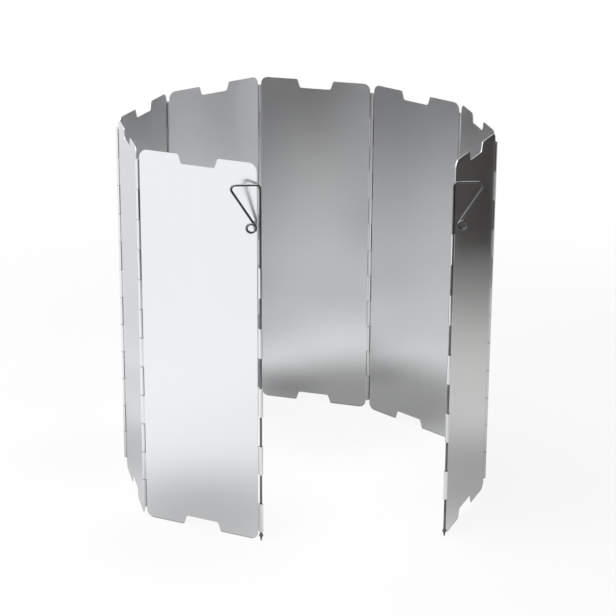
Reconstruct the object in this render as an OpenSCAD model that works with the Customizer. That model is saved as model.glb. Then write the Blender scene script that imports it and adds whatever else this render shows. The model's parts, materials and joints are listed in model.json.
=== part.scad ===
// Folding camp-stove windscreen: aluminium panels joined edge to edge by rolled hinges on wire
// pins, with a sliding wire ground stake in each of the two free edges. It stands open in a ring.

/* [Panels] */
// Height of every panel
panel_h = 240; // [180:1:300]
// Distance between the two hinge lines of a panel
panel_pitch = 83.5; // [70:0.5:110]
// Thickness of the aluminium sheet
sheet_t = 0.4; // [0.3:0.05:0.6]
// Radius of the panel corners
corner_r = 5; // [2:0.5:8]

/* [Hinges] */
// Diameter of the wire in the pins
wire_d = 1.8; // [1.4:0.1:2.4]
// Radial clearance of a pin in a knuckle
wire_fit = 0.05; // [0.02:0.01:0.1]
// Knuckle places along one hinge
slot_count = 12; // [8:2:16]
// Plain edge above the first knuckle and below the last
hinge_margin = 6; // [4:0.5:12]
// Gap between neighbouring knuckles
knuckle_gap = 0.4; // [0.2:0.05:0.8]
// Clearance between a knuckle and the cut-back edge of the next panel
edge_gap = 0.3; // [0.15:0.05:1.5]
// Slit left where a rolled edge comes round to its own sheet
curl_gap = 0.3; // [0.15:0.05:0.4]
// Distance of a hinge line from the middle of the sheet
axis_off = 0.3; // [0.2:0.05:0.5]
// How far a pin stays back inside the end knuckles
pin_inset = 0.5; // [0.2:0.1:3]

/* [Edge notches] */
// Width of a notch at the panel edge
notch_mouth = 26.5; // [18:0.5:40]
// Width of a notch at its floor
notch_floor = 22.5; // [10:0.5:26]
// Depth of a notch
notch_depth = 6; // [3:0.5:10]
// Rounding where a notch meets the panel edge
notch_lip_r = 1.2; // [0.5:0.1:2]
// Rounding at the corners of a notch's floor
notch_floor_r = 1.6; // [0.5:0.1:2]

/* [Stakes] */
// Diameter of the stakes' wire, which slides loosely in the knuckles
stake_d = 1.5; // [1.2:0.1:1.8]
// Knuckle places left bare at the top of a free edge
bare_slots = 2; // [0:2:4]
// From the round of a stake's knuckles to the sheet's edge between them
free_gap = 0.9; // [0.3:0.05:2.5]
// From the top of the panels down to the handle's arm
arm_drop = 12.4; // [8:0.1:20]
// Reach of the handle from the stake's axis
arm_len = 17; // [15:0.5:26]
// Radius of the handle's two bends
bend_r = 2.5; // [1.5:0.1:3.5]
// Radius of the eye, at the middle of the wire
eye_r = 2.7; // [2.2:0.1:3.5]
// Distance from the stake's axis to the middle of the eye
eye_out = 5.4; // [5:0.1:8]
// From the arm down to the middle of the eye
eye_drop = 26; // [18:0.5:32]
// How far round the wire goes in the eye, in degrees
eye_turn = 265; // [180:5:270]
// Length of the ground point
tip_len = 2.2; // [1:0.1:2.2]
// Width of the ground point's blunt end
tip_d = 0.6; // [0.3:0.1:1.2]
// Height of the middle of the pinched stop above the point
pinch_z = 3.6; // [3:0.1:4.2]
// Width of the pinched stop, wider than a knuckle's bore
pinch_w = 2.8; // [2.4:0.1:3.2]
// Thickness of the pinched stop
pinch_t = 1; // [0.6:0.1:1.4]

/* [Standing shape] */
// Inward bend at the first hinge, next to the left end panel, in degrees
bend_1 = 51; // [30:1:70]
// Inward bend at the second hinge, in degrees
bend_2 = 31; // [10:1:45]
// Inward bend at the third hinge, in degrees
bend_3 = 29; // [10:1:45]
// Inward bend at the fourth hinge, in degrees
bend_4 = 61; // [40:1:70]
// Inward bend at the fifth hinge, in degrees
bend_5 = 29; // [10:1:45]
// Inward bend at the sixth hinge, in degrees
bend_6 = 32; // [10:1:45]
// Inward bend at the seventh hinge, next to the right end panel, in degrees
bend_7 = 33; // [10:1:50]
// Swing of the left stake's handle out from its panel, in degrees
left_swing = 30; // [15:1:150]
// Swing of the right stake's handle out from its panel, in degrees
right_swing = 65; // [15:1:150]

/* [Hidden] */
$fn = 48;
arc_steps = 6;
overlap = 1;
// Swell of the wire where a bend begins or ends
kink = 0.02;
aluminium = "#D5D7DA";
steel = "#6F7276";

bends = [bend_1, bend_2, bend_3, bend_4, bend_5, bend_6, bend_7];
hinges = len(bends);
panels = hinges + 1;

// Round sizes of the wires and the knuckles
wire_r = wire_d / 2;
stake_r = stake_d / 2;
bore_r = wire_r + wire_fit;
barrel_r = bore_r + sheet_t;
slot_len = (panel_h - 2 * hinge_margin) / slot_count;
knuckle_len = slot_len - knuckle_gap;

// The chain in plan. Hinge lines run from 0, the left free edge, to the right free edge. Even
// lines lie on the outer side of the sheets and odd ones on the inner side, so that the panels
// fold up, each on the next. A panel's own x runs along it and its y points out of the ring.
function turned(v, a) = [v.x * cos(a) - v.y * sin(a), v.x * sin(a) + v.y * cos(a)];
function side(k) = k % 2 == 0 ? 1 : -1;
function raw_heading(i) = i == 1 ? 0 : raw_heading(i - 1) - bends[i - 2];
function raw_step(k) = [panel_pitch, (side(k) - side(k - 1)) * axis_off];
function raw_line(k) = k == 0 ? [0, 0] : raw_line(k - 1) + turned(raw_step(k), raw_heading(k));

// The mouth between the free edges lies along X, and the origin is under the middle of the ring
mouth = raw_line(panels) - raw_line(0);
mouth_turn = -atan2(mouth.y, mouth.x);
function heading(i) = raw_heading(i) + mouth_turn;
left_dir = heading(1) + left_swing;
right_dir = heading(panels) + 180 - right_swing;
turned_lines = [for (k = [0:panels]) turned(raw_line(k), mouth_turn)];
arm_ends = [
    turned_lines[0] + arm_len * [cos(left_dir), sin(left_dir)],
    turned_lines[panels] + arm_len * [cos(right_dir), sin(right_dir)],
];
rounds = concat(
    [for (p = turned_lines) [p.x, p.y, barrel_r]],
    [for (p = arm_ends) [p.x, p.y, stake_r]]
);
low = [min([for (c = rounds) c.x - c.z]), min([for (c = rounds) c.y - c.z])];
high = [max([for (c = rounds) c.x + c.z]), max([for (c = rounds) c.y + c.z])];
lines = [for (p = turned_lines) p - (low + high) / 2];

// The brace of the stake's handle, the straight from the outer bend down to the eye
arm_z = panel_h - arm_drop;
outer_bend = [arm_len - bend_r, arm_z - bend_r];
eye = [eye_out, arm_z - eye_drop];
to_eye = eye - outer_bend;
brace_dir = atan2(to_eye.y, to_eye.x) - asin((bend_r + eye_r) / norm(to_eye));
brace_side = [-sin(brace_dir), cos(brace_dir)];
brace_from = outer_bend + bend_r * brace_side;
brace_to = eye - eye_r * brace_side;

panel_names = [for (i = [1:panels]) str("panel_", i)];
pin_names = [for (k = [1:hinges]) str("hinge_pin_", k)];
stake_names = ["left_stake", "right_stake"];

// Points round one corner of an outline, from the corner before to the corner after
function unit(v) = v / norm(v);
function corner(before, at, after, r) =
    let (
        u = unit(before - at),
        v = unit(after - at),
        half = acos(u * v) / 2,
        middle = at + unit(u + v) * r / sin(half),
        start = at + u * r / tan(half) - middle,
        sweep = -sign(cross(u, v)) * (180 - 2 * half)
    )
    [for (s = [0:arc_steps]) middle + turned(start, sweep * s / arc_steps)];

function rounded(path) =
    let (n = len(path))
    [
        for (i = [0:n - 1])
            let (a = path[(i + n - 1) % n], p = path[i], b = path[(i + 1) % n])
            each corner([a[0], a[1]], [p[0], p[1]], [b[0], b[1]], p[2])
    ];

// A panel's first edge is 0 and its second edge is 1. A free edge holds a stake.
function is_free(i, edge) = (i == 1 && edge == 0) || (i == panels && edge == 1);

// From a hinge line, along the panel, to the sheet's edge between its knuckles
function cut_back(i, edge) =
    is_free(i, edge)
        ? barrel_r + free_gap
        : sqrt(pow(barrel_r + edge_gap, 2) - pow(axis_off - sheet_t / 2, 2));

// The bottom or top edge of panel i, each corner as [x, z, radius]
function edge_path(i, z, up) =
    let (m = panel_pitch / 2)
    [
        [cut_back(i, 0), z, corner_r],
        [m - notch_mouth / 2, z, notch_lip_r],
        [m - notch_floor / 2, z + up * notch_depth, notch_floor_r],
        [m + notch_floor / 2, z + up * notch_depth, notch_floor_r],
        [m + notch_mouth / 2, z, notch_lip_r],
        [panel_pitch - cut_back(i, 1), z, corner_r],
    ];

function reversed(list) = [for (i = [len(list) - 1:-1:0]) list[i]];

// Knuckle places that panel i rolls on one edge, from the top
function own_slots(i, edge) =
    [for (s = [2 - edge:2:slot_count]) if (!is_free(i, edge) || s > bare_slots) s];
function slot_low(s) = hinge_margin + (slot_count - s) * slot_len + knuckle_gap / 2;

module panel_outline(i) {
    polygon(rounded(concat(edge_path(i, 0, 1), reversed(edge_path(i, panel_h, -1)))));
    for (edge = [0, 1], s = own_slots(i, edge)) {
        tab = cut_back(i, edge) + overlap;
        translate([edge * (panel_pitch - tab), slot_low(s)])
            square([tab, knuckle_len]);
    }
}

module sheet(i) {
    translate([0, sheet_t / 2, 0])
        rotate([90, 0, 0])
            linear_extrude(sheet_t)
                panel_outline(i);
}

// Moves to the hinge line at one edge of panel i, in the panel's own place
module at_edge(i, edge) {
    translate([edge * panel_pitch, side(i - 1 + edge) * axis_off, 0]) children();
}

module rolls(i, edge) {
    at_edge(i, edge)
        for (s = own_slots(i, edge))
            translate([0, 0, slot_low(s)])
                cylinder(r = barrel_r, h = knuckle_len);
}

// The bore for the wire and the slit beside the sheet, right along one edge
module roll_cuts(i, edge) {
    sheet_side = -side(i - 1 + edge);
    at_edge(i, edge)
        translate([0, 0, -overlap]) {
            cylinder(r = bore_r, h = panel_h + 2 * overlap);
            mirror([edge, 0, 0])
                mirror([0, sheet_side > 0 ? 1 : 0, 0])
                    translate([0, sheet_t / 2 - axis_off, 0])
                        cube([barrel_r + overlap, curl_gap, panel_h + 2 * overlap]);
        }
}

module panel(i) {
    color(aluminium)
        translate([lines[i - 1].x, lines[i - 1].y, 0])
            rotate(heading(i))
                translate([0, -side(i - 1) * axis_off, 0])
                    difference() {
                        union() {
                            sheet(i);
                            rolls(i, 0);
                            rolls(i, 1);
                        }
                        roll_cuts(i, 0);
                        roll_cuts(i, 1);
                    }
}

module hinge_pin(k) {
    foot = hinge_margin + pin_inset;
    color(steel)
        translate([lines[k].x, lines[k].y, foot])
            cylinder(r = wire_r, h = panel_h - 2 * foot);
}

// A bend of the wire about a point of the handle's plane, from one angle through a turn, with the
// kinks at its ends
module wire_bend(at, r, from, turn) {
    translate([at.x, 0, at.y])
        rotate([90, 0, 0]) {
            rotate(min(from, from + turn))
                rotate_extrude(angle = abs(turn))
                    translate([r, 0])
                        circle(r = stake_r);
            for (end = [from, from + turn])
                rotate(end)
                    translate([r, 0, 0])
                        sphere(r = stake_r + kink);
        }
}

// A straight of the wire between two points of the handle's plane
module wire_run(from, to) {
    run = to - from;
    translate([from.x, 0, from.y])
        rotate([0, 90 - atan2(run.y, run.x), 0])
            cylinder(r = stake_r, h = norm(run));
}

// One stake on its own axis, with its handle along x
module stake() {
    cylinder(d1 = tip_d, d2 = stake_d, h = tip_len);
    translate([0, pinch_t / 2, pinch_z])
        rotate([90, 0, 0])
            cylinder(d = pinch_w, h = pinch_t);
    wire_run([0, tip_len], [0, arm_z - bend_r]);
    wire_bend([bend_r, arm_z - bend_r], bend_r, 180, -90);
    wire_run([bend_r, arm_z], [outer_bend.x, arm_z]);
    wire_bend(outer_bend, bend_r, 90, brace_dir);
    wire_run(brace_from, brace_to);
    wire_bend(eye, eye_r, brace_dir - 90, eye_turn);
}

module left_stake() {
    color(steel)
        translate([lines[0].x, lines[0].y, 0])
            rotate(left_dir)
                stake();
}

module right_stake() {
    color(steel)
        translate([lines[panels].x, lines[panels].y, 0])
            rotate(right_dir)
                stake();
}

for (i = [1:panels])
    panel(i);
for (k = [1:hinges])
    hinge_pin(k);
left_stake();
right_stake();
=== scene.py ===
"""Folding camp-stove windscreen: rolled aluminium panels, hinge pins and wire stakes."""

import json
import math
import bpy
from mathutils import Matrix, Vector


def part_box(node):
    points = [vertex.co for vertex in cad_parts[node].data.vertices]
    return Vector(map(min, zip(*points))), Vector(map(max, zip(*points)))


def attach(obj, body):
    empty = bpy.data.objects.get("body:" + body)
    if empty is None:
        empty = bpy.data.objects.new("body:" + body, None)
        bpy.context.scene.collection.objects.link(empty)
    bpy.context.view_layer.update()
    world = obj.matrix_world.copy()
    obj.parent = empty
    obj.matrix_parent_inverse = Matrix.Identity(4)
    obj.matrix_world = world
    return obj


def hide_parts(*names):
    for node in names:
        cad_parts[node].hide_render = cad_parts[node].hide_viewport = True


bl_info = {
    "name": "Folding windscreen",
    "version": (1, 0, 0),
    "blender": (4, 5, 0),
    "location": "View3D > Sidebar > Windscreen",
    "description": "Rolled aluminium panels, hinge pins and wire stakes of a stove windscreen",
    "category": "Object",
}

import bmesh
import bpy
from bpy.props import FloatProperty, FloatVectorProperty, IntProperty, PointerProperty
from bpy.types import Operator, Panel, PropertyGroup
from mathutils import Matrix, Vector

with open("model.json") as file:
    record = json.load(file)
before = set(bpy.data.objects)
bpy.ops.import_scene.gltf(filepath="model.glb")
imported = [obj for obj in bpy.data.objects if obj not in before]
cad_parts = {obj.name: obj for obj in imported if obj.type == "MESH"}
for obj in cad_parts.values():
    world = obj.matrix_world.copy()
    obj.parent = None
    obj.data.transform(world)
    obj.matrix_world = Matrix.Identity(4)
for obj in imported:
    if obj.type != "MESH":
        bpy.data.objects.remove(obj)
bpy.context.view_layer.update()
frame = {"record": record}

# The hinge lines in plan, from the left free edge to the right free edge
RECORD = frame["record"]
MOUNTS = {mount["name"]: Vector(mount["pos_m"]) for mount in RECORD["mounts"]}
HINGES = {
    joint["name"]: Vector(joint["pos_m"])
    for joint in RECORD["behaviour"]["joints"]
    if joint["type"] == "hinge"
}
HINGE_COUNT = len(HINGES)
PANEL_COUNT = HINGE_COUNT + 1
LINES = (
    [MOUNTS["left_ground_point"].xy]
    + [HINGES[f"hinge_{k}"].xy for k in range(1, HINGE_COUNT + 1)]
    + [MOUNTS["right_ground_point"].xy]
)
PANEL_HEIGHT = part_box("panel_5")[1].z

MM = 0.001


# Sizes and colours


def length(name, description, default_mm, low_mm, high_mm):
    """A length property, given in millimetres and stored in metres."""
    return FloatProperty(
        name=name,
        description=description,
        default=default_mm * MM,
        min=low_mm * MM,
        max=high_mm * MM,
        precision=5,
        subtype="DISTANCE",
        unit="LENGTH",
    )


def angle(name, description, default, low, high):
    """An angle property, given in degrees."""
    return FloatProperty(
        name=name,
        description=description,
        default=math.radians(default),
        min=math.radians(low),
        max=math.radians(high),
        subtype="ANGLE",
        unit="ROTATION",
    )


def count(name, description, default, low, high):
    """A whole number."""
    return IntProperty(name=name, description=description, default=default, min=low, max=high)


def colour(name, description, default):
    """A linear colour property."""
    return FloatVectorProperty(
        name=name,
        description=description,
        default=default,
        min=0.0,
        max=1.0,
        size=3,
        subtype="COLOR",
    )


def share(name, description, default):
    """A plain number from 0 to 1."""
    return FloatProperty(
        name=name, description=description, default=default, min=0.0, max=1.0, subtype="FACTOR"
    )


def power(name, description, default):
    """A lamp's power in watts."""
    return FloatProperty(
        name=name,
        description=description,
        default=default,
        min=0.0,
        max=100.0,
        subtype="POWER",
        unit="POWER",
    )


def focal_length(name, description, default):
    """A lens's focal length in millimetres."""
    return FloatProperty(
        name=name,
        description=description,
        default=default,
        min=20.0,
        max=300.0,
        subtype="DISTANCE_CAMERA",
        unit="CAMERA",
    )


class WindscreenSheet(PropertyGroup):
    """Sizes of the aluminium sheet and its outline"""

    thickness: length("Thickness", "Thickness of the sheet", 0.4, 0.3, 0.6)
    corner_radius: length("Corner radius", "Radius of the panel corners", 5.0, 2.0, 8.0)
    edge_gap: length("Edge gap", "Clearance of a knuckle at the next panel's edge", 0.3, 0.15, 1.5)
    free_gap: length("Free gap", "From a stake's knuckles to the sheet's free edge", 0.9, 0.3, 2.5)
    notch_mouth: length("Notch mouth", "Width of a notch at the edge", 26.5, 18.0, 40.0)
    notch_floor: length("Notch floor", "Width of a notch at its floor", 22.5, 10.0, 26.0)
    notch_depth: length("Notch depth", "Depth of a notch", 6.0, 3.0, 10.0)
    lip_radius: length("Lip radius", "Rounding where a notch meets the edge", 1.2, 0.5, 2.0)
    floor_radius: length("Floor radius", "Rounding at a notch's floor", 1.6, 0.5, 2.0)
    edge_round: length("Edge round", "Rounding of the sheared edges", 0.06, 0.02, 0.15)


class WindscreenHinge(PropertyGroup):
    """Sizes of the rolled knuckles and the wire in them"""

    wire_radius: length("Wire radius", "Radius of the hinge pins", 0.9, 0.7, 1.2)
    roll_radius: length("Roll radius", "Knuckle radius at mid sheet", 1.15, 0.9, 1.6)
    axis_offset: length("Axis offset", "From mid sheet to the hinge line", 0.3, 0.2, 0.5)
    margin: length("Margin", "Plain edge above and below the knuckles", 6.0, 4.0, 12.0)
    gap: length("Gap", "Gap between neighbouring knuckles", 0.4, 0.2, 0.8)
    pin_inset: length("Pin inset", "How far a pin stays inside the end knuckles", 0.5, 0.2, 3.0)
    slots: count("Slots", "Knuckle places on a hinge", 12, 8, 16)
    bare_slots: count("Bare slots", "Places left bare at the top of a free edge", 2, 0, 4)
    roll_turn: angle("Roll turn", "How far round a knuckle is rolled", 292, 270, 300)


class WindscreenStake(PropertyGroup):
    """Sizes of the wire stakes and their handles"""

    wire_radius: length("Wire radius", "Radius of the stakes", 0.75, 0.6, 0.9)
    arm_drop: length("Arm drop", "From the panel tops down to the arm", 12.4, 8.0, 20.0)
    arm_length: length("Arm length", "Reach of the handle from the stake", 17.0, 15.0, 26.0)
    bend_radius: length("Bend radius", "Radius of the handle's bends", 2.5, 1.5, 3.5)
    eye_radius: length("Eye radius", "Radius of the eye at mid wire", 2.7, 2.2, 3.5)
    eye_out: length("Eye out", "From the stake to the eye's middle", 5.4, 5.0, 8.0)
    eye_drop: length("Eye drop", "From the arm down to the eye's middle", 26.0, 18.0, 32.0)
    eye_lead: length("Eye lead", "How far the eye's end passes its start", 1.75, 0.0, 2.5)
    eye_turn: angle("Eye turn", "How far round the eye goes", 400, 180, 420)
    point_radius: length("Point radius", "Radius of the blunt ground point", 0.3, 0.1, 0.6)
    point_length: length("Point length", "Length of the ground point", 2.2, 1.0, 2.2)
    pinch_height: length("Pinch height", "Middle of the pinched stop", 3.6, 3.0, 4.2)
    pinch_width: length("Pinch width", "Width of the pinched stop", 2.8, 2.4, 3.2)
    pinch_thickness: length("Pinch thickness", "Thickness of the pinched stop", 1.0, 0.6, 1.4)
    left_turn: angle("Left turn", "Direction of the left handle in plan", 179.88, -180, 360)
    right_turn: angle("Right turn", "Direction of the right handle in plan", -1.12, -180, 360)


class WindscreenFinish(PropertyGroup):
    """Colours and finishes of the metals"""

    sheet_light: colour("Sheet light", "Bright strokes of the satin sheet", (0.91, 0.914, 0.92))
    sheet_dark: colour("Sheet dark", "Dull strokes of the satin sheet", (0.885, 0.889, 0.895))
    sheet_roughness: share("Sheet roughness", "Roughness of the satin sheet", 0.23)
    sheet_stretch: share("Sheet stretch", "Sideways stretch of its highlights", 0.6)
    edge_tone: colour("Edge tone", "Freshly sheared sheet edges", (0.78, 0.785, 0.795))
    pin_tone: colour("Pin tone", "Bright drawn wire", (0.62, 0.625, 0.635))
    stake_light: colour("Stake light", "Rubbed places of the dark wire", (0.24, 0.24, 0.244))
    stake_dark: colour("Stake dark", "Dark spring wire", (0.1, 0.1, 0.103))
    stake_roughness: share("Stake roughness", "Roughness of the dark wire", 0.2)


class WindscreenStudio(PropertyGroup):
    """Floor, cards, lamps and camera"""

    floor_side: length("Floor side", "Side of the floor", 12000, 1000, 20000)
    # The floor that the metal sees darkens from left to right: a painted fall-off of light
    floor_left: colour("Floor left", "Cool side of the pale floor", (0.97, 0.985, 1.0))
    floor_shaded_right: colour("Floor right", "Warm side of the pale floor", (0.6, 0.595, 0.585))
    shadow: share("Shadow", "How much of its shade the white floor shows", 0.1)
    softbox_power: power("Softbox power", "Power of the softbox", 13.5)
    softbox_side: length("Softbox side", "Side of the softbox", 1000, 100, 2000)
    fill_power: power("Fill power", "Power of the fill lamp", 2.5)
    fill_side: length("Fill side", "Side of the fill lamp", 600, 100, 2000)
    ambient: share("Ambient", "Even light from all round", 0.15)
    card_distance: length("Card distance", "Radius of the curved dark cards", 560, 300, 2000)
    card_height: length("Card height", "Height of the dark cards", 1000, 100, 2000)
    card_tone: colour("Card tone", "Cards in front and on the right", (0.04, 0.036, 0.033))
    lens: focal_length("Lens", "Focal length of the camera", 114.48)


# Materials


# The range that most values of a noise fall in
NOISE_RANGE = (0.3, 0.7)
# Marks in the finishes: waves a metre along x, y and z, then detail and roughness of the noise
BRUSH = ((2600.0, 2600.0, 9.0), 3.0, 0.6)
CLOUDS = ((26.0, 26.0, 11.0), 2.0, 0.5)
SHEAR_MARKS = ((3200.0, 3200.0, 3200.0), 2.0, 0.6)
DRAW_LINES = ((5200.0, 5200.0, 30.0), 2.0, 0.55)
RUBS = ((160.0, 160.0, 60.0), 4.0, 0.65)
GRAIN = ((4200.0, 4200.0, 1400.0), 2.0, 0.6)
# How deep the marks are, in metres
BRUSH_DEPTH = 0.0000003
CLOUD_DEPTH = 0.00012
SHEAR_DEPTH = 0.00002
DRAW_DEPTH = 0.000006
GRAIN_DEPTH = 0.000008
# How far the marks change the roughness, or between which values
SHEET_SPREAD = 0.02
EDGE_ROUGHNESS = (0.3, 0.5)
PIN_ROUGHNESS = (0.2, 0.34)
STAKE_SMOOTHER = 0.08
STAKE_ROUGHER = 0.1
# Tone of the dull marks against the bright ones
EDGE_DULL = 0.8
PIN_DULL = 0.75
# Painted shade in crevices, from ambient occlusion darkening the colour: their width in metres, its
# tone, and how far it spreads into the open
CREVICE_WIDTH = 0.002
CREVICE_SHADE_TONE = 0.3
CREVICE_SPREAD = (0.35, 0.85)
CREVICE_SAMPLES = 16

WHITE = (1.0, 1.0, 1.0, 1.0)


class Nodes:
    """A node tree, with short calls to add and join its nodes."""

    def __init__(self, tree):
        self.tree = tree

    def add(self, kind, **values):
        """A new node, with its own values set."""
        made = self.tree.nodes.new(kind)
        for name, value in values.items():
            setattr(made, name, value)
        return made

    def join(self, source, target):
        """A link from one socket to another."""
        self.tree.links.new(source, target)

    def combine(self, operation, first, second):
        """The sum, the product or the larger of two values."""
        both = self.add("ShaderNodeMath", operation=operation)
        self.join(first, both.inputs[0])
        self.join(second, both.inputs[1])
        return both.outputs["Value"]

    def spread(self, value, before, after, shape="LINEAR"):
        """A value carried from one range to another, and kept inside it."""
        carried = self.add("ShaderNodeMapRange", interpolation_type=shape)
        for label, ends in (("From", before), ("To", after)):
            for end, number in zip(("Min", "Max"), ends):
                carried.inputs[f"{label} {end}"].default_value = number
        self.join(value, carried.inputs["Value"])
        return carried.outputs["Result"]

    def between(self, value, first, second):
        """A colour between two tones, by a value from 0 to 1."""
        blend = self.add("ShaderNodeMix", data_type="RGBA")
        blend.inputs["A"].default_value = (*first, 1.0)
        blend.inputs["B"].default_value = (*second, 1.0)
        self.join(value, blend.inputs["Factor"])
        return blend.outputs["Result"]

    def darken(self, tone, value):
        """A colour multiplied by a value."""
        blend = self.add("ShaderNodeMix", data_type="RGBA", blend_type="MULTIPLY")
        blend.inputs["Factor"].default_value = 1.0
        self.join(tone, blend.inputs["A"])
        self.join(value, blend.inputs["B"])
        return blend.outputs["Result"]

    def any_ray(self, *kinds):
        """1 for rays of these kinds, and 0 for others."""
        path = self.add("ShaderNodeLightPath")
        seen = path.outputs[kinds[0]]
        for kind in kinds[1:]:
            seen = self.combine("MAXIMUM", seen, path.outputs[kind])
        return seen

    def show(self, output, value, first, second):
        """The output: one shader, or a second one where a value is 1."""
        mix = self.add("ShaderNodeMixShader")
        self.join(value, mix.inputs["Fac"])
        self.join(first, mix.inputs[1])
        self.join(second, mix.inputs[2])
        self.join(mix.outputs["Shader"], self.add(output).inputs["Surface"])


class Metal(Nodes):
    """A metal's material, with the marks and the relief of its surface."""

    def __init__(self, name):
        self.material = bpy.data.materials.new(name)
        self.material.use_nodes = True
        super().__init__(self.material.node_tree)
        self.surface = self.tree.nodes["Principled BSDF"]
        self.surface.inputs["Metallic"].default_value = 1.0

    def marks(self, waves, detail, roughness):
        """Noise on Object coordinates, stretched by the waves of each axis."""
        place = self.add("ShaderNodeTexCoord")
        stretch = self.add("ShaderNodeMapping")
        stretch.inputs["Scale"].default_value = waves
        noise = self.add("ShaderNodeTexNoise")
        noise.inputs["Scale"].default_value = 1.0
        noise.inputs["Detail"].default_value = detail
        noise.inputs["Roughness"].default_value = roughness
        self.join(place.outputs["Object"], stretch.inputs["Vector"])
        self.join(stretch.outputs["Vector"], noise.inputs["Vector"])
        return noise.outputs["Fac"]

    def tint(self, marks, dark, light):
        """The surface's colour, between two tones by its marks."""
        tone = self.between(self.spread(marks, NOISE_RANGE, (0.0, 1.0)), dark, light)
        self.join(tone, self.surface.inputs["Base Color"])

    def paint_crevice_shade(self):
        """Darken the surface's colour in narrow crevices, a painted shade taken from ambient
        occlusion.
        """
        crevice = self.add("ShaderNodeAmbientOcclusion", samples=CREVICE_SAMPLES)
        crevice.inputs["Distance"].default_value = CREVICE_WIDTH
        tone = self.spread(crevice.outputs["AO"], CREVICE_SPREAD, (CREVICE_SHADE_TONE, 1.0), "SMOOTHSTEP")
        target = self.surface.inputs["Base Color"]
        self.join(self.darken(target.links[0].from_socket, tone), target)

    def roughen(self, value):
        """The surface's roughness."""
        self.join(value, self.surface.inputs["Roughness"])

    def relief(self, *heights):
        """Bumps one on another, each given by its marks and their depth."""
        normal = None
        for marks, depth in heights:
            bump = self.add("ShaderNodeBump")
            bump.inputs["Strength"].default_value = 1.0
            bump.inputs["Distance"].default_value = depth
            self.join(marks, bump.inputs["Height"])
            if normal:
                self.join(normal, bump.inputs["Normal"])
            normal = bump.outputs["Normal"]
        self.join(normal, self.surface.inputs["Normal"])


def satin_sheet(finish):
    """Aluminium sheet with a fine upright brush and a faint unevenness from rolling."""
    metal = Metal("satin_sheet")
    strokes, clouds = metal.marks(*BRUSH), metal.marks(*CLOUDS)
    metal.tint(strokes, finish.sheet_dark, finish.sheet_light)
    # Painted shade: the colour darkens in narrow crevices such as the hinge gaps
    metal.paint_crevice_shade()
    rough = finish.sheet_roughness
    fine = metal.spread(strokes, NOISE_RANGE, (rough - SHEET_SPREAD, rough + SHEET_SPREAD))
    broad = metal.spread(clouds, NOISE_RANGE, (-SHEET_SPREAD, SHEET_SPREAD))
    metal.roughen(metal.combine("ADD", fine, broad))
    metal.relief((clouds, CLOUD_DEPTH), (strokes, BRUSH_DEPTH))
    metal.surface.inputs["Anisotropic"].default_value = finish.sheet_stretch
    tangent = metal.add("ShaderNodeTangent", direction_type="UV_MAP", uv_map="sheet")
    metal.join(tangent.outputs["Tangent"], metal.surface.inputs["Tangent"])
    return metal.material


def sheared_edge(finish):
    """The sheet's cut edge, rougher and with short marks across it."""
    metal = Metal("sheared_edge")
    marks = metal.marks(*SHEAR_MARKS)
    tone = Vector(finish.edge_tone)
    metal.tint(marks, tone * EDGE_DULL, tone)
    # Painted shade: the colour darkens in narrow crevices such as the hinge gaps
    metal.paint_crevice_shade()
    metal.roughen(metal.spread(marks, NOISE_RANGE, EDGE_ROUGHNESS))
    metal.relief((marks, SHEAR_DEPTH))
    return metal.material


def drawn_wire(finish):
    """Bright steel wire with fine draw lines along it."""
    metal = Metal("drawn_wire")
    lines = metal.marks(*DRAW_LINES)
    tone = Vector(finish.pin_tone)
    metal.tint(lines, tone * PIN_DULL, tone)
    metal.roughen(metal.spread(lines, NOISE_RANGE, PIN_ROUGHNESS))
    metal.relief((lines, DRAW_DEPTH))
    return metal.material


def dark_wire(finish):
    """Dark spring wire, rubbed lighter in places."""
    metal = Metal("dark_wire")
    rubs, grain = metal.marks(*RUBS), metal.marks(*GRAIN)
    metal.tint(rubs, finish.stake_dark, finish.stake_light)
    rough = finish.stake_roughness
    metal.roughen(metal.spread(grain, NOISE_RANGE, (rough - STAKE_SMOOTHER, rough + STAKE_ROUGHER)))
    metal.relief((grain, GRAIN_DEPTH))
    return metal.material


# Modelling


# Steps round the sheet's corners and knuckles, and across its eased edges
CORNER_STEPS = 8
ROLL_STEPS = 20
EASED_STEPS = 2
# Sides of a wire, and steps along a stake's pinched stop, its bends, its eye and a rounded end
WIRE_SIDES = 24
PINCH_STEPS = 8
ARM_STEPS = 10
BRACE_STEPS = 14
EYE_STEPS = 44
END_STEPS = 3
# How much of its radius a wire is rounded off by at its end
PIN_END = 0.25
EYE_END = 0.3
# Angles past which the sheet's edges are eased, and past which edges are shaded sharp
EASED_PAST = math.radians(50)
SHEET_SHARP_PAST = math.radians(20)
WIRE_SHARP_PAST = math.radians(35)
# A face above this area in square metres is one of the sheet's flat sides
FLAT_SIDE = 0.001


def crisp(bm, limit):
    """Smooth shading, with sharp edges past a limit and round the sheet's flat sides."""
    for face in bm.faces:
        face.smooth = True
    for edge in bm.edges:
        faces = edge.link_faces
        flat = any(face.calc_area() > FLAT_SIDE for face in faces)
        edge.smooth = len(faces) == 2 and not flat and edge.calc_face_angle() < limit


def rounded(bm, geom, offset, steps, affect):
    """Round off some vertices or edges."""
    bmesh.ops.bevel(
        bm,
        geom=geom,
        offset=offset,
        offset_type="OFFSET",
        segments=steps,
        profile=0.5,
        affect=affect,
        material=-1,
    )


def swept(bm, geom, middle, axis, turn, steps, rise=(0, 0, 0)):
    """Sweep an edge or ring part of the way round an axis, and return its last place."""
    return bmesh.ops.spin(
        bm,
        geom=geom,
        cent=middle,
        axis=axis,
        dvec=rise,
        angle=turn,
        steps=steps,
        use_merge=False,
        use_duplicate=False,
    )["geom_last"]


def add_piece(name, bm, materials):
    """A new object at the origin that holds the mesh, with its place in the mesh."""
    mesh = bpy.data.meshes.new(name)
    bm.to_mesh(mesh)
    bm.free()
    for material in materials:
        mesh.materials.append(material)
    piece = bpy.data.objects.new(name, mesh)
    bpy.context.scene.collection.objects.link(piece)
    return piece


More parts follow.
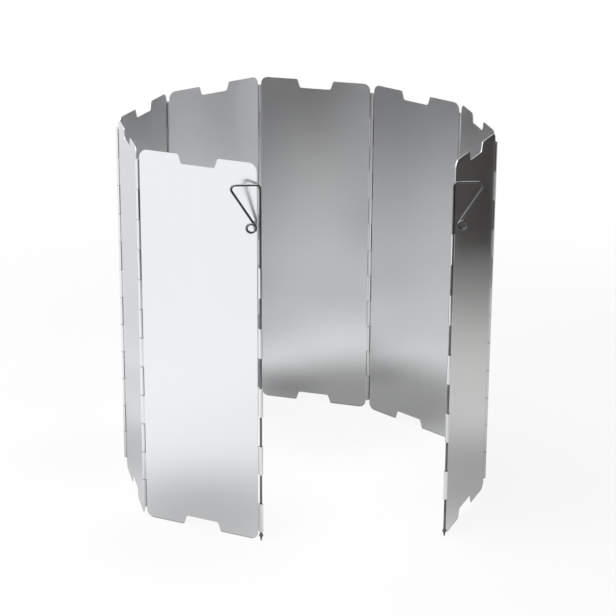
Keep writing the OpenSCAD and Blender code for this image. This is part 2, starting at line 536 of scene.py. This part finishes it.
def settle(piece, limit):
    """Apply a piece's modifiers to its mesh, and shade it."""
    graph = bpy.context.evaluated_depsgraph_get()
    mesh = bpy.data.meshes.new_from_object(piece.evaluated_get(graph))
    piece.modifiers.clear()
    blank = piece.data
    piece.data = mesh
    mesh.name = piece.name
    bpy.data.meshes.remove(blank)
    bm = bmesh.new()
    bm.from_mesh(mesh)
    crisp(bm, limit)
    bm.to_mesh(mesh)
    bm.free()


def hand_over(piece, body, node):
    """Tie a piece to the packed part: its body and the node it stands for."""
    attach(piece, body)
    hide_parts(node)


def side_of(line):
    """Even hinge lines lie on the outer side of the sheets, odd ones on the inner side."""
    return 1 if line % 2 == 0 else -1


def panel_place(number, hinge):
    """Pitch of a panel and the matrix that stands it between its two hinge lines."""
    start, end = LINES[number - 1], LINES[number]
    across = (side_of(number) - side_of(number - 1)) * hinge.axis_offset
    span = end - start
    pitch = math.sqrt(span.length_squared - across**2)
    heading = math.atan2(span.y, span.x) - math.atan2(across, pitch)
    shift = Matrix.Translation((0, -side_of(number - 1) * hinge.axis_offset, 0))
    stand = Matrix.Translation((start.x, start.y, 0)) @ Matrix.Rotation(heading, 4, "Z")
    return pitch, stand @ shift


def is_free(number, second):
    """Whether a panel's first or second edge holds a stake, with no panel beyond it."""
    return number == (PANEL_COUNT if second else 1)


def knuckle_spans(number, second, hinge):
    """Low and high ends of the knuckles that a panel rolls on one edge, from the bottom."""
    free = is_free(number, second)
    pitch = (PANEL_HEIGHT - 2 * hinge.margin) / hinge.slots
    spans = []
    for slot in range(hinge.slots, 0, -1):
        own = slot % 2 == (1 if second else 0)
        if own and not (free and slot <= hinge.bare_slots):
            low = hinge.margin + (hinge.slots - slot) * pitch + hinge.gap / 2
            spans.append((low, low + pitch - hinge.gap))
    return spans


def cut_back(number, second, sheet, hinge):
    """From a hinge line, along the panel, to the sheet's edge between its knuckles."""
    barrel = hinge.roll_radius + sheet.thickness / 2
    if is_free(number, second):
        return barrel + sheet.free_gap
    face_offset = hinge.axis_offset - sheet.thickness / 2
    return math.sqrt((barrel + sheet.edge_gap) ** 2 - face_offset**2)


def edge_corners(number, sheet, hinge, pitch):
    """Corners along the bottom edge, each with x, height and rounding."""
    middle = pitch / 2
    return [
        (cut_back(number, False, sheet, hinge), 0.0, sheet.corner_radius),
        (middle - sheet.notch_mouth / 2, 0.0, sheet.lip_radius),
        (middle - sheet.notch_floor / 2, sheet.notch_depth, sheet.floor_radius),
        (middle + sheet.notch_floor / 2, sheet.notch_depth, sheet.floor_radius),
        (middle + sheet.notch_mouth / 2, 0.0, sheet.lip_radius),
        (pitch - cut_back(number, True, sheet, hinge), 0.0, sheet.corner_radius),
    ]


def cut_blank(bm, bottom, first_spans, second_spans):
    """The flat blank with its corners and notches rounded. Returns the edges to be rolled."""
    top = [(x, PANEL_HEIGHT - z, radius) for x, z, radius in reversed(bottom)]
    right, left = bottom[-1][0], bottom[0][0]
    corners = {}

    def point(x, z, radius=None):
        vert = bm.verts.new((x, 0, z))
        if radius:
            corners.setdefault(radius, []).append(vert)
        return vert

    ring = [point(*corner) for corner in bottom]
    second = [(point(right, low), point(right, high)) for low, high in second_spans]
    ring += [vert for pair in second for vert in pair]
    ring += [point(*corner) for corner in top]
    first = [(point(left, low), point(left, high)) for low, high in first_spans]
    ring += [vert for pair in reversed(first) for vert in reversed(pair)]
    bm.faces.new(ring)
    for radius, verts in corners.items():
        before, after = (edge.other_vert(verts[0]).co - verts[0].co for edge in verts[0].link_edges)
        setback = radius / math.tan(before.angle(after) / 2)
        rounded(bm, verts, setback, CORNER_STEPS, "VERTICES")
    return [bm.edges.get(pair) for pair in first], [bm.edges.get(pair) for pair in second]


def roll_edge(bm, edge, line_x, side, outward, hinge):
    """Carry a tab from its root to the roll, where it touches, and roll it round the hinge line."""
    axis = Vector((line_x, side * hinge.axis_offset, 0))
    grown = bmesh.ops.extrude_edge_only(bm, edges=[edge])["geom"]
    verts = [item for item in grown if isinstance(item, bmesh.types.BMVert)]
    root = edge.verts[0].co.xy - axis.xy
    turn = math.acos(hinge.roll_radius / root.length) * side * outward
    touch = root.normalized() * hinge.roll_radius
    touch.rotate(Matrix.Rotation(turn, 2))
    for vert in verts:
        vert.co.xy = axis.xy + touch
    tab_end = bm.edges.get(verts)
    swept(bm, [tab_end, *verts], axis, (0, 0, 1), side * outward * hinge.roll_turn, ROLL_STEPS)


def lay_out(bm):
    """A UV map in metres: along the panel and up it."""
    layer = bm.loops.layers.uv.new("sheet")
    for face in bm.faces:
        for loop in face.loops:
            loop[layer].uv = (loop.vert.co.x, loop.vert.co.z)


def make_panel(number, sheet, hinge, materials):
    """One panel: blank, rolled edges, thickness and eased edges."""
    pitch, place = panel_place(number, hinge)
    bm = bmesh.new()
    spans = [knuckle_spans(number, second, hinge) for second in (False, True)]
    first, second = cut_blank(bm, edge_corners(number, sheet, hinge, pitch), *spans)
    for edge in first:
        roll_edge(bm, edge, 0.0, side_of(number - 1), -1, hinge)
    for edge in second:
        roll_edge(bm, edge, pitch, side_of(number), 1, hinge)
    bmesh.ops.recalc_face_normals(bm, faces=bm.faces)
    lay_out(bm)
    bmesh.ops.transform(bm, matrix=place, verts=bm.verts)
    piece = add_piece(f"windscreen_panel_{number}", bm, materials)
    wall = piece.modifiers.new("wall", "SOLIDIFY")
    wall.thickness = sheet.thickness
    wall.offset = 0.0
    wall.use_even_offset = True
    wall.use_rim = True
    wall.material_offset_rim = 1
    eased = piece.modifiers.new("eased", "BEVEL")
    eased.width = sheet.edge_round
    eased.segments = EASED_STEPS
    eased.limit_method = "ANGLE"
    eased.angle_limit = EASED_PAST
    settle(piece, SHEET_SHARP_PAST)
    return piece


def ring_of(items):
    """The vertices and edges among some mesh parts."""
    verts = [item for item in items if isinstance(item, bmesh.types.BMVert)]
    inside = set(verts)
    edges = [
        item
        for item in items
        if isinstance(item, bmesh.types.BMEdge) and inside.issuperset(item.verts)
    ]
    return verts, edges


class Wire:
    """A round wire that grows from its end, ring by ring, in the plane of x and z."""

    def __init__(self, radius):
        self.bm = bmesh.new()
        made = bmesh.ops.create_circle(self.bm, segments=WIRE_SIDES, radius=radius)
        self.verts = made["verts"]
        self.edges = self.bm.edges[:]
        self.half = (radius, radius)

    def run(self, x, z):
        """A straight, as far as x and z say."""
        grown = bmesh.ops.extrude_edge_only(self.bm, edges=self.edges)["geom"]
        self.verts, self.edges = ring_of(grown)
        bmesh.ops.translate(self.bm, vec=(x, 0, z), verts=self.verts)

    def press(self, half_x, half_y):
        """Make the last ring as wide and as thick as given, while it runs upright."""
        middle = sum((vert.co for vert in self.verts), Vector()) / len(self.verts)
        bmesh.ops.scale(
            self.bm,
            vec=(half_x / self.half[0], half_y / self.half[1], 1),
            space=Matrix.Translation(-middle),
            verts=self.verts,
        )
        self.half = (half_x, half_y)

    def bend(self, x, z, turn, steps, lead=0.0):
        """A bend about a point of the plane; a lead carries it out of the plane."""
        ring = [*self.edges, *self.verts]
        grown = swept(self.bm, ring, (x, 0, z), (0, 1, 0), turn, steps, (0, lead / steps, 0))
        self.verts, self.edges = ring_of(grown)

    def close(self, ease):
        """Cap both ends and ease the last one."""
        self.bm.verts.index_update()
        last = {vert.index for vert in self.verts}
        open_edges = [edge for edge in self.bm.edges if edge.is_boundary]
        bmesh.ops.holes_fill(self.bm, edges=open_edges, sides=WIRE_SIDES)
        rim = [edge for edge in self.bm.edges if {vert.index for vert in edge.verts} <= last]
        rounded(self.bm, rim, ease, END_STEPS, "EDGES")
        bmesh.ops.recalc_face_normals(self.bm, faces=self.bm.faces)
        return self.bm


def make_pin(number, hinge, material):
    """A straight hinge pin, cut to length with its ends broken."""
    foot = hinge.margin + hinge.pin_inset
    broken = hinge.wire_radius * PIN_END
    wire = Wire(hinge.wire_radius - broken)
    wire.run(0, broken)
    wire.press(hinge.wire_radius, hinge.wire_radius)
    wire.run(0, PANEL_HEIGHT - 2 * foot - broken)
    bm = wire.close(broken)
    line = LINES[number]
    bmesh.ops.translate(bm, vec=(line.x, line.y, foot), verts=bm.verts)
    crisp(bm, WIRE_SHARP_PAST)
    return add_piece(f"windscreen_pin_{number}", bm, [material])


def make_stake(name, line, turn, lean, stake, material):
    """A ground stake: point, pinched stop, shaft, arm, brace and curled eye."""
    radius, bend = stake.wire_radius, stake.bend_radius
    arm_z = PANEL_HEIGHT - stake.arm_drop
    wire = Wire(stake.point_radius)
    wire.run(0, stake.point_length)
    wire.press(radius, radius)
    half_width, half_depth = stake.pinch_width / 2, stake.pinch_thickness / 2
    reach = stake.pinch_height - stake.point_length
    height = stake.point_length
    for step in range(1, PINCH_STEPS + 1):
        wire.run(0, 2 * reach / PINCH_STEPS)
        height += 2 * reach / PINCH_STEPS
        swell = math.sin(math.pi * step / PINCH_STEPS) ** 2
        wire.press(radius + (half_width - radius) * swell, radius + (half_depth - radius) * swell)
    wire.run(0, arm_z - bend - height)
    wire.bend(bend, arm_z - bend, math.pi / 2, ARM_STEPS)
    wire.run(stake.arm_length - 2 * bend, 0)
    outer = Vector((stake.arm_length - bend, arm_z - bend))
    eye = Vector((stake.eye_out, arm_z - stake.eye_drop))
    to_eye = eye - outer
    rounds = bend + stake.eye_radius
    brace = math.atan2(to_eye.y, to_eye.x) - math.asin(rounds / to_eye.length)
    brace_length = math.sqrt(to_eye.length_squared - rounds**2)
    wire.bend(outer.x, outer.y, -brace, BRACE_STEPS)
    wire.run(brace_length * math.cos(brace), brace_length * math.sin(brace))
    wire.bend(eye.x, eye.y, -stake.eye_turn, EYE_STEPS, lean * stake.eye_lead)
    bm = wire.close(radius * EYE_END)
    stand = Matrix.Translation((line.x, line.y, 0)) @ Matrix.Rotation(turn, 4, "Z")
    bmesh.ops.transform(bm, matrix=stand, verts=bm.verts)
    crisp(bm, WIRE_SHARP_PAST)
    return add_piece(name, bm, [material])


# Stage


# Rays from the metal, and all rays that show the white background
MIRROR_RAYS = ("Is Glossy Ray", "Is Transmission Ray")
SEEN_RAYS = ("Is Camera Ray", *MIRROR_RAYS)
# Where the floor turns from its bright left colour to its painted shade on the right, in metres
FLOOR_TURN = (-0.3, 0.3)
# Painted shade on the floor, soft spots at the foot of the panels and further out: middle, inner
# and outer radius in millimetres, and tone
PAINTED_SHADES = (
    ((35, 80), 35, 118, 0.42),
    ((-32, 104), 8, 52, 0.62),
    ((-88, -122), 10, 120, 0.62),
    ((-150, 15), 20, 105, 0.63),
    ((-175, 135), 20, 80, 0.82),
    ((-300, 600), 330, 560, 0.78),
    ((140, -50), 20, 130, 0.6),
    ((480, 310), 0, 310, 0.26),
)
# Where the shade that the camera sees begins to fade out and where it ends, in millimetres
FADE = (250, 700)
# Dark cards in front and on the right, with the angles where they begin and end
CARDS = (("studio_front_card", -106, -20), ("studio_right_card", 6, 58))
CARD_MIDDLE = Vector((0.02, 0.03, 0))
CARD_ROUGHNESS = 0.9
CARD_STEPS = 48
# Where the lamps hang and the points that they face, in metres
SOFTBOX_PLACE = (-0.3, -0.15, 1.0)
SOFTBOX_AIM = (-0.25, -0.12, 0)
FILL_PLACE = (-0.8, -0.7, 0.7)
FILL_AIM = (-0.5, -0.4, 0)
# The camera's place in metres, its turns, and its sensor in millimetres
CAMERA_PLACE = Vector((-0.0837, -1.2355, 0.5189))
CAMERA_YAW = math.radians(4.102)
CAMERA_PITCH = math.radians(-18.304)
CAMERA_ROLL = math.radians(0.291)
SENSOR_WIDTH = 36.0


def soft_spot(nodes, point, middle, inner_mm, outer_mm, tone):
    """A tone on the floor that fades out to 1 between two radii."""
    reach = nodes.add("ShaderNodeVectorMath", operation="DISTANCE")
    reach.inputs[1].default_value = Vector((*middle, 0)) * MM
    nodes.join(point, reach.inputs[0])
    radii = (inner_mm * MM, outer_mm * MM)
    return nodes.spread(reach.outputs["Value"], radii, (tone, 1.0), "SMOOTHSTEP")


def pale_floor(studio):
    """Pale paper that the camera sees as white, with a little of its shade. The metal shows it
    bright and cool on the left, darker and warm on the right as a painted fall-off of light,
    and with soft grey spots of painted shade at the foot of the panels and further out."""
    material = bpy.data.materials.new("pale_floor")
    material.use_nodes = True
    nodes = Nodes(material.node_tree)
    nodes.tree.nodes.clear()
    point = nodes.add("ShaderNodeTexCoord").outputs["Object"]
    parts = nodes.add("ShaderNodeSeparateXYZ")
    nodes.join(point, parts.inputs["Vector"])
    side = nodes.spread(parts.outputs["X"], FLOOR_TURN, (0.0, 1.0))
    tone = nodes.between(side, studio.floor_left, studio.floor_shaded_right)
    # Painted shade: soft dark spots multiplied into the floor's colour, which the metal mirrors
    for spot in PAINTED_SHADES:
        tone = nodes.darken(tone, soft_spot(nodes, point, *spot))
    matt = nodes.add("ShaderNodeBsdfDiffuse")
    nodes.join(tone, matt.inputs["Color"])
    shown = nodes.add("ShaderNodeMix", data_type="RGBA")
    shown.inputs["A"].default_value = WHITE
    nodes.join(tone, shown.inputs["B"])
    nodes.join(nodes.any_ray(*MIRROR_RAYS), shown.inputs["Factor"])
    bright = nodes.add("ShaderNodeEmission")
    nodes.join(shown.outputs["Result"], bright.inputs["Color"])
    fade = soft_spot(nodes, point, (0, 0), *FADE, 1.0 - studio.shadow)
    lift = nodes.combine("MULTIPLY", nodes.any_ray(*SEEN_RAYS), fade)
    nodes.show("ShaderNodeOutputMaterial", lift, matt.outputs["BSDF"], bright.outputs["Emission"])
    return material


def lay_floor(studio):
    """The wide flat floor that the windscreen stands on."""
    bm = bmesh.new()
    bmesh.ops.create_grid(bm, x_segments=1, y_segments=1, size=studio.floor_side / 2)
    floor = add_piece("studio_floor", bm, [pale_floor(studio)])


def white_room(scene, studio):
    """A world that the camera and the metal see as white, with an even dim light."""
    world = bpy.data.worlds.new("studio")
    world.use_nodes = True
    scene.world = world
    nodes = Nodes(world.node_tree)
    nodes.tree.nodes.clear()
    lights = []
    for strength in (studio.ambient, 1.0):
        light = nodes.add("ShaderNodeBackground")
        light.inputs["Color"].default_value = WHITE
        light.inputs["Strength"].default_value = strength
        lights.append(light.outputs["Background"])
    nodes.show("ShaderNodeOutputWorld", nodes.any_ray(*SEEN_RAYS), *lights)


def dark_card(studio):
    """Dull dark card."""
    material = bpy.data.materials.new("dark_card")
    material.use_nodes = True
    board = material.node_tree.nodes["Principled BSDF"]
    board.inputs["Base Color"].default_value = (*studio.card_tone, 1.0)
    board.inputs["Roughness"].default_value = CARD_ROUGHNESS
    return material


def stand_card(name, start, end, studio, material):
    """A curved card that only the metal sees."""
    bm = bmesh.new()
    radius = studio.card_distance
    foot = CARD_MIDDLE + Vector((radius * math.cos(start), radius * math.sin(start), 0))
    post = [bm.verts.new(foot), bm.verts.new(foot + Vector((0, 0, studio.card_height)))]
    edge = bm.edges.new(post)
    swept(bm, [edge, *post], CARD_MIDDLE, (0, 0, 1), end - start, CARD_STEPS)
    card = add_piece(name, bm, [material])
    card.visible_camera = False
    card.visible_diffuse = False
    card.visible_shadow = False


def hang_lamp(scene, name, place, aim, side, watts):
    """A square soft lamp that faces a point."""
    lamp = bpy.data.lights.new(name, "AREA")
    lamp.shape = "SQUARE"
    lamp.size = side
    lamp.energy = watts
    holder = bpy.data.objects.new(name, lamp)
    holder.location = place
    holder.rotation_euler = (Vector(aim) - Vector(place)).to_track_quat("-Z", "Y").to_euler()
    scene.collection.objects.link(holder)


def set_camera(scene, studio):
    """The camera at the photograph's place, turned by yaw, pitch and roll."""
    camera = bpy.data.cameras.new("camera")
    camera.lens = studio.lens
    camera.sensor_width = SENSOR_WIDTH
    holder = bpy.data.objects.new("camera", camera)
    turn = Matrix.Rotation(-CAMERA_YAW, 4, "Z")
    level = Matrix.Rotation(math.pi / 2 + CAMERA_PITCH, 4, "X")
    roll = Matrix.Rotation(CAMERA_ROLL, 4, "Z")
    holder.matrix_world = Matrix.Translation(CAMERA_PLACE) @ turn @ level @ roll
    scene.collection.objects.link(holder)
    scene.camera = holder


# Operators


class WINDSCREEN_OT_studio(Operator):
    """Lay the floor, stand the cards, hang the lamps and set up the camera"""

    bl_idname = "windscreen.studio"
    bl_label = "Studio"

    def execute(self, context):
        scene = context.scene
        studio = scene.windscreen_studio
        scene.view_settings.view_transform = "Standard"
        lay_floor(studio)
        white_room(scene, studio)
        board = dark_card(studio)
        for name, start, end in CARDS:
            stand_card(name, math.radians(start), math.radians(end), studio, board)
        softbox = (studio.softbox_side, studio.softbox_power)
        hang_lamp(scene, "softbox", SOFTBOX_PLACE, SOFTBOX_AIM, *softbox)
        fill = (studio.fill_side, studio.fill_power)
        hang_lamp(scene, "fill", FILL_PLACE, FILL_AIM, *fill)
        set_camera(scene, studio)
        return {"FINISHED"}


class WINDSCREEN_OT_panels(Operator):
    """Cut the panels, roll their knuckles and stand them in the ring"""

    bl_idname = "windscreen.panels"
    bl_label = "Panels"

    def execute(self, context):
        scene = context.scene
        finish = scene.windscreen_finish
        materials = [satin_sheet(finish), sheared_edge(finish)]
        for number in range(1, PANEL_COUNT + 1):
            piece = make_panel(number, scene.windscreen_sheet, scene.windscreen_hinge, materials)
            hand_over(piece, f"panel_{number}", f"panel_{number}")
        return {"FINISHED"}


class WINDSCREEN_OT_pins(Operator):
    """Put the wire pins through the knuckles"""

    bl_idname = "windscreen.pins"
    bl_label = "Hinge pins"

    def execute(self, context):
        scene = context.scene
        material = drawn_wire(scene.windscreen_finish)
        for number in range(1, HINGE_COUNT + 1):
            piece = make_pin(number, scene.windscreen_hinge, material)
            hand_over(piece, f"panel_{number}", f"hinge_pin_{number}")
        return {"FINISHED"}


class WINDSCREEN_OT_stakes(Operator):
    """Bend the wire stakes and put them through the free edges"""

    bl_idname = "windscreen.stakes"
    bl_label = "Stakes"

    def execute(self, context):
        scene = context.scene
        stake = scene.windscreen_stake
        material = dark_wire(scene.windscreen_finish)
        ends = (
            ("left_stake", LINES[0], stake.left_turn, 1),
            ("right_stake", LINES[-1], stake.right_turn, -1),
        )
        for node, line, turn, lean in ends:
            piece = make_stake(f"windscreen_{node}", line, turn, lean, stake, material)
            hand_over(piece, node, node)
        return {"FINISHED"}


class WINDSCREEN_PT_sidebar(Panel):
    """The windscreen's pieces and sizes"""

    bl_idname = "WINDSCREEN_PT_sidebar"
    bl_label = "Folding windscreen"
    bl_space_type = "VIEW_3D"
    bl_region_type = "UI"
    bl_category = "Windscreen"

    def draw(self, context):
        layout = self.layout
        for operator in OPERATORS:
            layout.operator(operator.bl_idname)
        for name, group in GROUPS.items():
            box = layout.box()
            box.label(text=group.__doc__)
            for field in group.__annotations__:
                box.prop(getattr(context.scene, name), field)


OPERATORS = (
    WINDSCREEN_OT_studio,
    WINDSCREEN_OT_panels,
    WINDSCREEN_OT_pins,
    WINDSCREEN_OT_stakes,
)
GROUPS = {
    "windscreen_sheet": WindscreenSheet,
    "windscreen_hinge": WindscreenHinge,
    "windscreen_stake": WindscreenStake,
    "windscreen_finish": WindscreenFinish,
    "windscreen_studio": WindscreenStudio,
}
CLASSES = (*GROUPS.values(), *OPERATORS, WINDSCREEN_PT_sidebar)


def register():
    for cls in CLASSES:
        bpy.utils.register_class(cls)
    for name, group in GROUPS.items():
        setattr(bpy.types.Scene, name, PointerProperty(type=group))


def unregister():
    for name in GROUPS:
        delattr(bpy.types.Scene, name)
    for cls in reversed(CLASSES):
        bpy.utils.unregister_class(cls)


def main():
    register()
    bpy.ops.windscreen.studio()
    bpy.ops.windscreen.panels()
    bpy.ops.windscreen.pins()
    bpy.ops.windscreen.stakes()


if __name__ == "__main__":
    main()
